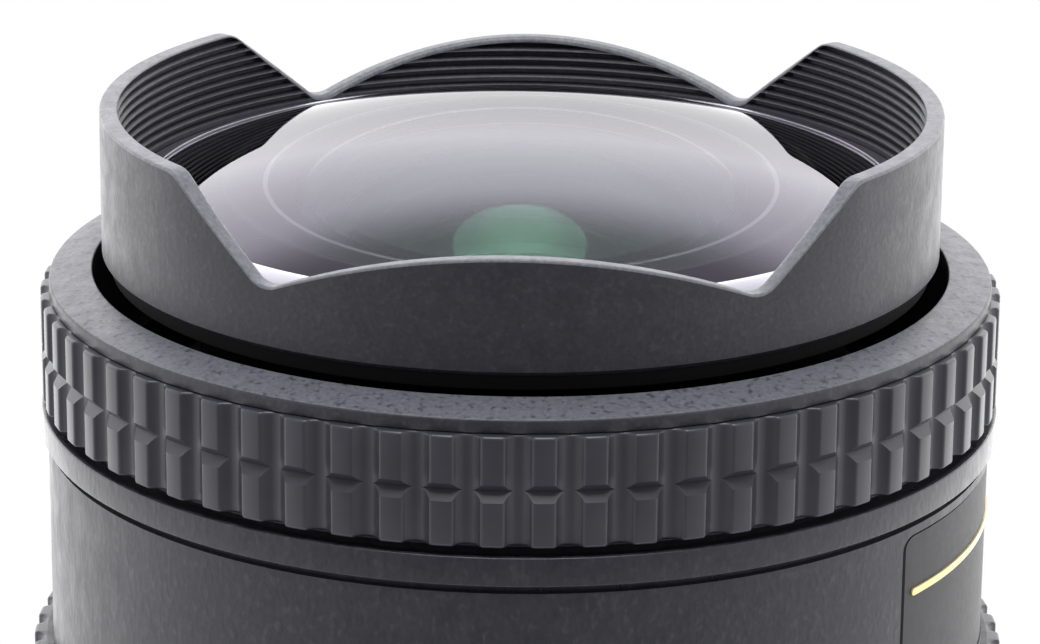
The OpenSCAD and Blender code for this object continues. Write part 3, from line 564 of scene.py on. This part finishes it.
def hood_angles(s):
    """Angles of the hood's columns, close together where the rim climbs from corner to shoulder."""
    middle = s.radius - s.wall / 2
    beyond = 2.2 * MM
    start = math.degrees(math.acos((s.shoulder_x + beyond) / middle))
    end = math.degrees(math.acos((s.corner_x - beyond) / middle))
    few = 20
    many = 100
    coarse = [start * i / few for i in range(few)]
    fine = [start + (end - start) * i / many for i in range(many + 1)]
    rest = [end + (90 - end) * i / few for i in range(1, few + 1)]
    quarter = coarse + fine + rest
    half = quarter + [180 - a for a in reversed(quarter[1:-1])]
    return [math.radians(a) for a in half + [a + 180 for a in half]]


def hood_shape(s):
    """The hood as columns of points round the axis, each from its foot over the rim and down the grooves.
    The petals are cut towards the axis, so a column has one height, and the grooves run out below it.
    The marks pick out the rim and the crests between the grooves, which get a paler coat as a painted
    highlight."""
    inner = s.radius - s.wall
    middle = s.radius - s.wall / 2
    height = petal_rim(s)
    pitch = (s.tall - s.groove_head - s.groove_foot) / s.grooves
    # Shares of the pitch and of the depth along one groove
    groove = ((0.04, 0), (0.24, 0.32), (0.33, 1), (0.74, 1), (0.88, 0.2), (0.94, 0))
    levels = [(s.groove_foot + (i + at) * pitch, depth) for i in range(s.grooves) for at, depth in groove]
    steps = 6
    quarter = [math.pi / 2 * i / steps for i in range(steps + 1)]
    verts = []
    angles = hood_angles(s)
    for a in angles:
        top = height(middle * math.cos(a))
        tallness = max(0, (top - s.low) / (s.tall - s.low))
        lip = s.low_lip + (s.lip - s.low_lip) * tallness
        edge = top - lip
        column = [(inner, s.foot), (s.radius - s.foot_bevel, s.foot), (s.radius, s.foot + s.foot_bevel)]
        column += [(s.radius - s.rim * (1 - math.cos(t)), top - s.rim * (1 - math.sin(t))) for t in quarter]
        column += [(inner + lip * (1 - math.sin(t)), top - lip * (1 - math.cos(t))) for t in quarter]
        for z, depth in reversed(levels):
            z = min(z, edge)
            column.append((inner + s.groove_depth * depth * min(1, (edge - z) / s.land), z))
        verts += [(r * math.cos(a), r * math.sin(a), z) for r, z in column]
    foot = 3
    rim = range(foot, foot + 2 * steps + 1)
    crests = range(rim.stop + len(groove), len(column) - 1, len(groove))
    # The rim and the crests take the second, paler coat as a painted highlight
    pale = {*rim, *crests}
    marks = [int(i in pale) for i in range(len(column))]
    return (verts, ring_faces(len(column), len(angles))), marks * len(angles)


def pad_cell(s, radius, core, foot, head, rows):
    """One pitch of a grip: a column of flat pads with a hollow valley on each side, open to its neighbours.
    Lines across and along the cell share their depths, so that notches and valleys meet in clean creases."""
    half = math.pi * radius / s.pads
    hollow = half * (1 - s.share)
    curve = (hollow ** 2 + s.depth ** 2) / (2 * s.depth)
    slope = math.asin(hollow / curve)
    edge = half - hollow - s.edge * math.tan(slope / 2)
    turns = [slope * i / 3 for i in range(4)]
    rounding = [(edge + s.edge * math.sin(t), s.edge * (1 - math.cos(t))) for t in turns]
    walls = [0.45 * s.depth, 0.7 * s.depth, s.notch_depth]
    floor = 0.3 * hollow
    across = [(0, 0)] + rounding
    across += [(half - math.sqrt(curve ** 2 - (curve - s.depth + d) ** 2), d) for d in walls]
    across += [(half - floor, s.depth - curve + math.sqrt(curve ** 2 - floor ** 2)), (half, s.depth)]
    across = [(-u, d) for u, d in reversed(across[1:])] + across

    depths = [d for u, d in rounding[1:]] + walls
    quarter = [math.pi / 2 * i / 3 for i in range(4)]
    ends = [(s.end * (1 - math.cos(t)), s.end * (1 - math.sin(t))) for t in quarter]
    along = [(foot + t, 0, d) for t, d in ends]
    pitch = (head - foot) / rows
    for i in range(1, rows):
        z = foot + i * pitch
        share = [(0, 0)] + [(d / s.notch_depth, d) for d in depths]
        along += [(z - s.notch_below * (1 - t), d, 0) for t, d in share]
        along += [(z + s.notch_above * (1 - t), d, 0) for t, d in reversed(share[:-1])]
    along += [(head - t, 0, d) for t, d in reversed(ends)]

    verts = []
    faces = []
    count = len(along) + 2
    for u, du in across:
        c, n = math.cos(u / radius), math.sin(u / radius)
        rings = [(core, foot)] + [(radius - max(du, dv) - cut, z) for z, dv, cut in along] + [(core, head)]
        verts += [(r * c, r * n, z) for r, z in rings]
    for i in range(len(across) - 1):
        for j in range(count):
            k = (j + 1) % count
            a, b, c, d = i * count + j, (i + 1) * count + j, (i + 1) * count + k, i * count + k
            if 0 < j < count - 2:
                here, there = across[i][1], across[i + 1][1]
                low, high = along[j - 1][1], along[j][1]
                if abs(here - low) < 1e-9 and abs(there - high) < 1e-9:
                    faces += [(a, b, c), (a, c, d)]
                    continue
                if abs(there - low) < 1e-9 and abs(here - high) < 1e-9:
                    faces += [(a, b, d), (b, c, d)]
                    continue
            faces.append((a, b, c, d))
    return verts, faces


def ring_array():
    """Geometry nodes that repeat a cell round the axis and weld the copies."""
    tree = bpy.data.node_groups.new("ring_array", "GeometryNodeTree")
    for name, kind in (("Cell", "Geometry"), ("Count", "Int"), ("Step", "Float"), ("Start", "Float"),
                       ("Weld", "Float"), ("Finish", "Material")):
        tree.interface.new_socket(name, in_out="INPUT", socket_type="NodeSocket" + kind)
    tree.interface.new_socket("Ring", in_out="OUTPUT", socket_type="NodeSocketGeometry")
    given = add(tree, "NodeGroupInput").outputs
    points = add(tree, "GeometryNodePoints", {"Count": given["Count"]})
    turn = add(tree, "ShaderNodeMath", {0: add(tree, "GeometryNodeInputIndex").outputs[0], 1: given["Step"],
                                        2: given["Start"]}, operation="MULTIPLY_ADD")
    euler = add(tree, "ShaderNodeCombineXYZ", {"Z": turn.outputs[0]})
    rotation = add(tree, "FunctionNodeEulerToRotation", {0: euler.outputs[0]})
    copies = add(tree, "GeometryNodeInstanceOnPoints", {
        "Points": points.outputs[0], "Instance": given["Cell"], "Rotation": rotation.outputs[0]})
    real = add(tree, "GeometryNodeRealizeInstances", {"Geometry": copies.outputs[0]})
    weld = add(tree, "GeometryNodeMergeByDistance", {"Geometry": real.outputs[0], "Distance": given["Weld"]})
    painted_ring = add(tree, "GeometryNodeSetMaterial", {"Geometry": weld.outputs[0],
                                                         "Material": given["Finish"]})
    add(tree, "NodeGroupOutput", {0: painted_ring.outputs[0]})
    return tree


def repeat_round(name, shape, count, start, material):
    """A plain object whose mesh is a cell repeated round the axis."""
    tree = bpy.data.node_groups.get("ring_array") or ring_array()
    mesh = bpy.data.meshes.new(name + "_cell")
    mesh.from_pydata(shape[0], [], shape[1])
    piece = bpy.data.objects.new(name, mesh)
    bpy.context.scene.collection.objects.link(piece)
    modifier = piece.modifiers.new("ring", "NODES")
    modifier.node_group = tree
    weld = 0.004 * MM
    values = {"Count": count, "Step": TURN / count, "Start": start, "Weld": weld, "Finish": material}
    for socket in tree.interface.items_tree:
        if socket.in_out == "INPUT" and socket.name in values:
            modifier[socket.identifier] = values[socket.name]
    ready = piece.evaluated_get(bpy.context.evaluated_depsgraph_get())
    result = bpy.data.meshes.new_from_object(ready)
    result.name = name
    piece.modifiers.clear()
    piece.data = result
    smooth(result)
    return piece


def bar(reach, width, lift, steps=48):
    """A flat bar with round ends, as points (along, up, out) and faces."""
    half = width / 2
    ends = [math.pi / 2 * i / 8 for i in range(9)]
    straight = reach / 2 - half
    stations = [(-straight - half * math.cos(t), half * math.sin(t)) for t in ends]
    stations += [(straight * (2 * i / steps - 1), half) for i in range(1, steps)]
    stations += [(straight + half * math.sin(t), half * math.cos(t)) for t in ends]
    points = [(x, y, out) for x, h in stations for out, y in ((0, -h), (0, h), (lift, h), (lift, -h))]
    faces = [(4 * i + j, 4 * i + (j + 1) % 4, 4 * i + 4 + (j + 1) % 4, 4 * i + 4 + j)
             for i in range(len(stations) - 1) for j in range(4)]
    return points, faces


def figure(text, size, lift):
    """A plain figure as points (along, up, out) and faces."""
    curve = bpy.data.curves.new("figure_" + text, "FONT")
    curve.body = text
    curve.size = size
    curve.extrude = lift / 2
    curve.align_x = "CENTER"
    curve.align_y = "CENTER"
    holder = bpy.data.objects.new("figure_" + text, curve)
    mesh = bpy.data.meshes.new_from_object(holder)
    points = [(v.co.x, v.co.y, v.co.z + lift / 2) for v in mesh.vertices]
    faces = [tuple(face.vertices) for face in mesh.polygons]
    bpy.data.objects.remove(holder)
    bpy.data.curves.remove(curve)
    bpy.data.meshes.remove(mesh)
    return points, faces


def wrap(points, radius, angle, height):
    """Lay points (along, up, out) on a cylinder round an angle and a height."""
    turned = [(radius + out, angle + along / radius, height + up) for along, up, out in points]
    return [(r * math.cos(a), r * math.sin(a), z) for r, a, z in turned]


# Operators

class LENS_OT_hood(bpy.types.Operator):
    """Make the petal hood and the ledge ring at its foot"""
    bl_idname = "lens.hood"
    bl_label = "Hood"

    def execute(self, context):
        s = context.scene.lens_hood
        outer, foot, head = span("front_retainer")
        shape, marks = hood_shape(s)
        # The second coat is a painted highlight on the hood's rim and crests
        coats = [speckled_lacquer("hood_lacquer", 1.0, 0.2), speckled_lacquer("worn_lacquer", 1.0, 0.2)]
        new_piece("petal_hood", shape, coats, "front_group", ["hood"], marks, crease=40)
        low = head - s.ledge_drop
        rise = 0.05 * MM
        blunt = 0.03 * MM
        ledge = rounded([
            (s.ledge_in, head - s.ledge_edge), (s.ledge_seat, low + rise), (s.ledge_seat, foot),
            (outer, foot), (outer, low, blunt), (s.ledge_in + s.ledge_lip, head),
            (s.ledge_in, head + rise, blunt)])
        new_piece("glass_ledge", lathe(ledge), [metal("satin_ledge", 1.5, 0.32, 0.4)], "front_group",
                  ["front_retainer"])
        return {"FINISHED"}


class LENS_OT_front_glass(bpy.types.Operator):
    """Make the domed front glass with its blackened edge"""
    bl_idname = "lens.front_glass"
    bl_label = "Front glass"

    def execute(self, context):
        s = context.scene.lens_glass
        radius, foot, top = span("front_element")
        rear_top = top - s.middle
        rear_r = math.sqrt(s.rear_curve ** 2 - (foot - rear_top + s.rear_curve) ** 2)
        rings = 48
        front = [radius * i / rings for i in range(rings + 1)]
        rear = [rear_r * (1 - i / rings) for i in range(rings + 1)]
        outline = [(r, top - s.front_curve + math.sqrt(s.front_curve ** 2 - r ** 2)) for r in front]
        outline.append((radius, foot))
        outline += [(r, rear_top - s.rear_curve + math.sqrt(s.rear_curve ** 2 - r ** 2)) for r in rear]
        marks = [0] * rings + [2, 2] + [1] * rings + [0]
        finishes = [coated_glass("front_glass", s.front_ior), coated_glass("hollow_face", s.hollow_ior),
                    painted("edge_black", 0.5, 0.7)]
        new_piece("front_dome", lathe(outline), finishes, "front_group",
                  ["front_element"], marks * STEPS)
        return {"FINISHED"}


class LENS_OT_focus_ring(bpy.types.Operator):
    """Make the focus ring with its sloping face and lip"""
    bl_idname = "lens.focus_ring"
    bl_label = "Focus ring"

    def execute(self, context):
        s = context.scene.lens_rings
        outer, foot, head = span("focus_ring")
        lip = head - s.face_rise
        under = foot + s.focus_flange
        flange = s.focus_core + s.focus_foot
        profile = rounded([
            (s.focus_bore, foot), (flange, foot), (flange, under), (s.focus_core, under),
            (s.focus_core, lip - s.face_lip), (outer, lip - s.face_lip, s.edge / 2),
            (outer, lip, 2 * s.edge), (s.face_in, head, s.edge), (s.face_in, head - s.face_back),
            (s.focus_bore, head - s.face_back)])
        # The sloping face and the top of the lip take the paler coat, a painted highlight
        raised = [z > lip - s.edge / 3 for r, z in profile]
        marks = [int(a and b) for a, b in zip(raised, raised[1:] + raised[:1])]
        coats = [speckled_lacquer("ring_lacquer", 1.0, 0.2), speckled_lacquer("face_lacquer", 1.0, 0.7)]
        new_piece("focus_ring_face", lathe(profile), coats, "focus_ring", ["focus_ring"],
                  marks * STEPS)
        return {"FINISHED"}


class LENS_OT_grips(bpy.types.Operator):
    """Make the ribbed rubber of the focus and zoom rings"""
    bl_idname = "lens.grips"
    bl_label = "Ribbed grips"

    def execute(self, context):
        s = context.scene.lens_grip
        rings = context.scene.lens_rings
        for name, node, body, radius, core, rows in (
                ("focus_grip", "focus_rubber", "focus_ring", s.focus_r, rings.focus_core, 2),
                ("zoom_grip", "zoom_rubber", "zoom_ring", s.zoom_r, rings.zoom_core, 4)):
            foot, head = span(node)[1:]
            cell = pad_cell(s, radius, core + s.seat, foot, head, rows)
            piece = repeat_round(name, cell, s.pads, s.phase + math.pi / s.pads, moulded_rubber())
            settle(piece, body, [node])
        return {"FINISHED"}


class LENS_OT_barrel(bpy.types.Operator):
    """Make the collar, dress the barrel and put the line on its plate"""
    bl_idname = "lens.barrel"
    bl_label = "Barrel and plate"

    def execute(self, context):
        s = context.scene.lens_rings
        outer, foot, head = span("front_collar")
        rim = outer - s.collar_rim
        under = foot + s.groove_height
        profile = rounded([
            (s.collar_in, foot), (s.groove_in, foot), (s.groove_in, under), (outer, under, s.edge),
            (outer, head, s.edge), (rim, head), (rim, head - s.collar_drop),
            (s.collar_in, head - s.collar_drop)])
        coat = speckled_lacquer("collar_lacquer", 0.6, 0.2, 0.24)
        new_piece("collar", lathe(profile), [coat], "barrel", ["front_collar"])
        dress(speckled_lacquer("barrel_lacquer", 0.6, 0.3), "main_barrel")
        dress(painted("bare_plate", 0.5, 0.65), "name_plate")

        marks = context.scene.lens_marks
        face = span("name_plate")[0]
        points, faces = bar(face * marks.line_angle, marks.line_width, marks.line_lift)
        line = wrap(points, face, 0, marks.line_z)
        new_piece("plate_line", (line, faces), [painted("gold_foil", 0.25, 0.4)], "barrel")
        return {"FINISHED"}


class LENS_OT_zoom_ring(bpy.types.Operator):
    """Make the zoom ring, its figures and the index mark"""
    bl_idname = "lens.zoom_ring"
    bl_label = "Zoom ring"

    def execute(self, context):
        s = context.scene.lens_rings
        outer, foot, head = span("zoom_ring")
        band_top = foot + s.zoom_band
        lip = head - s.zoom_lip
        profile = rounded([
            (s.zoom_bore, foot), (outer, foot, s.zoom_round), (outer, band_top, s.edge),
            (s.zoom_core, band_top), (s.zoom_core, lip), (s.zoom_lip_r, lip),
            (s.zoom_lip_r, head, s.edge / 2), (s.zoom_bore, head)])
        coat = speckled_lacquer("ring_lacquer", 1.0, 0.2)
        new_piece("zoom_ring_body", lathe(profile), [coat], "zoom_ring", ["zoom_ring"])

        marks = context.scene.lens_marks
        white = painted("white_print", 0.35, 0.5)
        shares = {"10": 0.0, "12": 0.28, "14": 0.56, "15": 0.72, "17": 1.0}
        verts = []
        faces = []
        for text, share in shares.items():
            points, cells = figure(text, marks.figure, marks.print_lift)
            faces += [tuple(i + len(verts) for i in cell) for cell in cells]
            verts += wrap(points, outer, marks.index - marks.turn * share, foot + s.zoom_band / 2)
        new_piece("zoom_figures", (verts, faces), [white], "zoom_ring")
        rear_r, rear_head = span("rear_barrel")[::2]
        points, faces = bar(marks.index_length, marks.index_width, marks.print_lift, steps=8)
        upright = [(up, along, out) for along, up, out in points]
        mark = wrap(upright, rear_r, marks.index, rear_head - marks.index_drop)
        new_piece("zoom_index", (mark, faces), [white], "barrel")
        return {"FINISHED"}


class LENS_OT_rear(bpy.types.Operator):
    """Dress the rear barrel, the bayonet mount and its contacts"""
    bl_idname = "lens.rear"
    bl_label = "Rear end"

    def execute(self, context):
        dress(speckled_lacquer("barrel_lacquer", 0.6, 0.3), "rear_barrel")
        dress(metal("satin_chrome", 0.25, 0.18, 0.36), "bayonet_mount")
        dress(metal("blackened_steel", 0.2, 0.25, 0.45), "mount_screws", "baffle_screws")
        dress(metal("turned_brass", 0.15, 0.12, 0.3), "contact_pins")
        dress(painted("white_print", 0.35, 0.5), "index_dot")
        dress(inner_black(), "rear_baffle", "contact_block")
        dress(painted("solder_mask", 0.3, 0.45), "circuit_board")
        return {"FINISHED"}


class LENS_OT_inside(bpy.types.Operator):
    """Dress the glasses, cells, cams and iris inside"""
    bl_idname = "lens.inside"
    bl_label = "Inside"

    def execute(self, context):
        s = context.scene.lens_glass
        dress(inner_black(), "focus_sleeve", "focus_cell", "rear_cell", "rear_spacers",
              "rear_retainer", "iris_base", "iris_cover")
        dress(inner_black("cell_lip", s.cell_lip, "bare"), "front_cell")
        dress(inner_black("retainer_lip", s.retainer_lip, "worn"), "second_retainer")
        dress(coated_glass("inner_glass", s.inner_ior), "second_element", "third_element",
              "focus_doublet_front", "focus_doublet_rear", "rear_element_1", "rear_doublet_front",
              "rear_doublet_rear", "rear_element_2", "rear_element_3")
        dress(metal("anodised_aluminium", 0.3, 0.3, 0.5), "guide_barrel", "cam_barrel", "focus_retainers")
        blades = ["iris_blade_%d" % i for i in range(1, 7)]
        dress(metal("blackened_steel", 0.2, 0.25, 0.45), "focus_key", "zoom_drive_pins", "iris_ring",
              "aperture_lever", "aperture_spring", *blades)
        dress(metal("turned_brass", 0.15, 0.12, 0.3), "front_followers", "rear_followers", "focus_pins")
        return {"FINISHED"}


class LENS_OT_stage(bpy.types.Operator):
    """Set the camera, the soft lamp, the white surroundings and the floor"""
    bl_idname = "lens.stage"
    bl_label = "Stage"

    def execute(self, context):
        s = context.scene.lens_stage
        scene = context.scene
        scene.view_settings.view_transform = "Standard"
        target = Vector((0, 0, s.target))

        lens = bpy.data.cameras.new("camera")
        lens.sensor_width = 36
        lens.sensor_fit = "HORIZONTAL"
        lens.lens = s.focal
        lens.clip_start = 0.01
        camera = bpy.data.objects.new("camera", lens)
        turn = Euler((math.pi / 2 - s.elevation, 0, s.azimuth)).to_matrix()
        place = target + s.distance * (turn @ Vector((0, 0, 1)))
        camera.matrix_world = Matrix.LocRotScale(place, turn @ Matrix.Rotation(s.roll, 3, "Z"), None)
        scene.collection.objects.link(camera)
        scene.camera = camera

        lamp = bpy.data.lights.new("top_lamp", "AREA")
        lamp.shape = "DISK"
        lamp.size = s.top_size
        lamp.energy = s.top
        softbox = bpy.data.objects.new("top_lamp", lamp)
        softbox.location = (0, s.top_back, s.top_height)
        softbox.rotation_euler = (target - softbox.location).to_track_quat("-Z", "Y").to_euler()
        scene.collection.objects.link(softbox)

        self.surroundings(scene, s)
        self.floor(scene)
        return {"FINISHED"}

    def surroundings(self, scene, s):
        """A bright sweep behind and beside the lens, dim overhead and on the side of the camera.
        The camera, and what it sees through glass, meets plain white."""
        world = bpy.data.worlds.new("white_sweep")
        scene.world = world
        world.use_nodes = True
        tree = world.node_tree
        tree.nodes.clear()
        toward = add(tree, "ShaderNodeTexCoord").outputs["Generated"]
        facing = add(tree, "ShaderNodeSeparateXYZ", {0: toward}).outputs
        round_back = (-1.0, 0.9)
        straight_back = (0.93, 1.0)
        climb = (0.58, 0.75)
        behind = spread(tree, facing["Y"], s.front, 1.0, *round_back)
        far = spread(tree, facing["Y"], 1.0, s.far, *straight_back)
        above = spread(tree, facing["Z"], s.sweep, s.sweep * s.overhead, *climb,
                       interpolation_type="SMOOTHSTEP")
        sky = add(tree, "ShaderNodeMath", {0: far, 1: above}, operation="MULTIPLY")
        level = add(tree, "ShaderNodeMath", {0: behind, 1: sky.outputs[0]}, operation="MULTIPLY")
        path = add(tree, "ShaderNodeLightPath").outputs
        seen = add(tree, "ShaderNodeMath", {0: path["Is Camera Ray"], 1: path["Is Transmission Ray"]},
                   operation="MAXIMUM")
        strength = add(tree, "ShaderNodeMix", {"Factor": seen.outputs[0], "A": level.outputs[0], "B": 1.0})
        light = add(tree, "ShaderNodeBackground", {"Color": (1, 1, 1, 1), "Strength": strength.outputs[0]})
        add(tree, "ShaderNodeOutputWorld", {"Surface": light.outputs[0]})

    def floor(self, scene):
        """A pale disc that takes the shadow of the lens and fades into the white sweep further off."""
        gap = 0.05 * MM
        level = CAD_BOX[0][2] - gap
        steps = 96
        radius = 0.12
        fade_start = 0.05
        fade_end = 0.95 * radius
        edge = [(radius * math.cos(TURN * i / steps), radius * math.sin(TURN * i / steps), level)
                for i in range(steps)]
        faces = [(0, 1 + i, 1 + (i + 1) % steps) for i in range(steps)]
        mesh = bpy.data.meshes.new("floor")
        mesh.from_pydata([(0, 0, level)] + edge, [], faces)
        material, tree, place = blank("pale_floor")
        far = add(tree, "ShaderNodeVectorMath", {0: place}, operation="LENGTH")
        fade = spread(tree, far.outputs["Value"], 0.0, 1.0, fade_start, fade_end,
                      interpolation_type="SMOOTHSTEP")
        matte = add(tree, "ShaderNodeBsdfDiffuse", {"Color": colour("#f2f2f2")})
        clear = add(tree, "ShaderNodeBsdfTransparent")
        finish(tree, add(tree, "ShaderNodeMixShader", {0: fade, 1: matte.outputs[0], 2: clear.outputs[0]}))
        mesh.materials.append(material)
        floor = bpy.data.objects.new("floor", mesh)
        scene.collection.objects.link(floor)


OPERATORS = (LENS_OT_hood, LENS_OT_front_glass, LENS_OT_focus_ring, LENS_OT_grips, LENS_OT_barrel,
             LENS_OT_zoom_ring, LENS_OT_rear, LENS_OT_inside, LENS_OT_stage)


class LENS_PT_panel(bpy.types.Panel):
    """Sizes, colours and operators of the lens"""
    bl_idname = "LENS_PT_panel"
    bl_label = "Fisheye lens"
    bl_space_type = "VIEW_3D"
    bl_region_type = "UI"
    bl_category = "Lens"

    def draw(self, context):
        for operator in OPERATORS:
            self.layout.operator(operator.bl_idname)
        for name, group in SETTINGS.items():
            box = self.layout.box()
            for field in group.__annotations__:
                box.prop(getattr(context.scene, name), field)


CLASSES = (*SETTINGS.values(), *OPERATORS, LENS_PT_panel)


def register():
    for cls in CLASSES:
        bpy.utils.register_class(cls)
    for name, group in SETTINGS.items():
        setattr(bpy.types.Scene, name, PointerProperty(type=group))


def unregister():
    for name in SETTINGS:
        delattr(bpy.types.Scene, name)
    for cls in reversed(CLASSES):
        bpy.utils.unregister_class(cls)


def main():
    register()
    for operator in OPERATORS:
        getattr(bpy.ops.lens, operator.bl_idname.split(".")[1])()


if __name__ == "__main__":
    main()
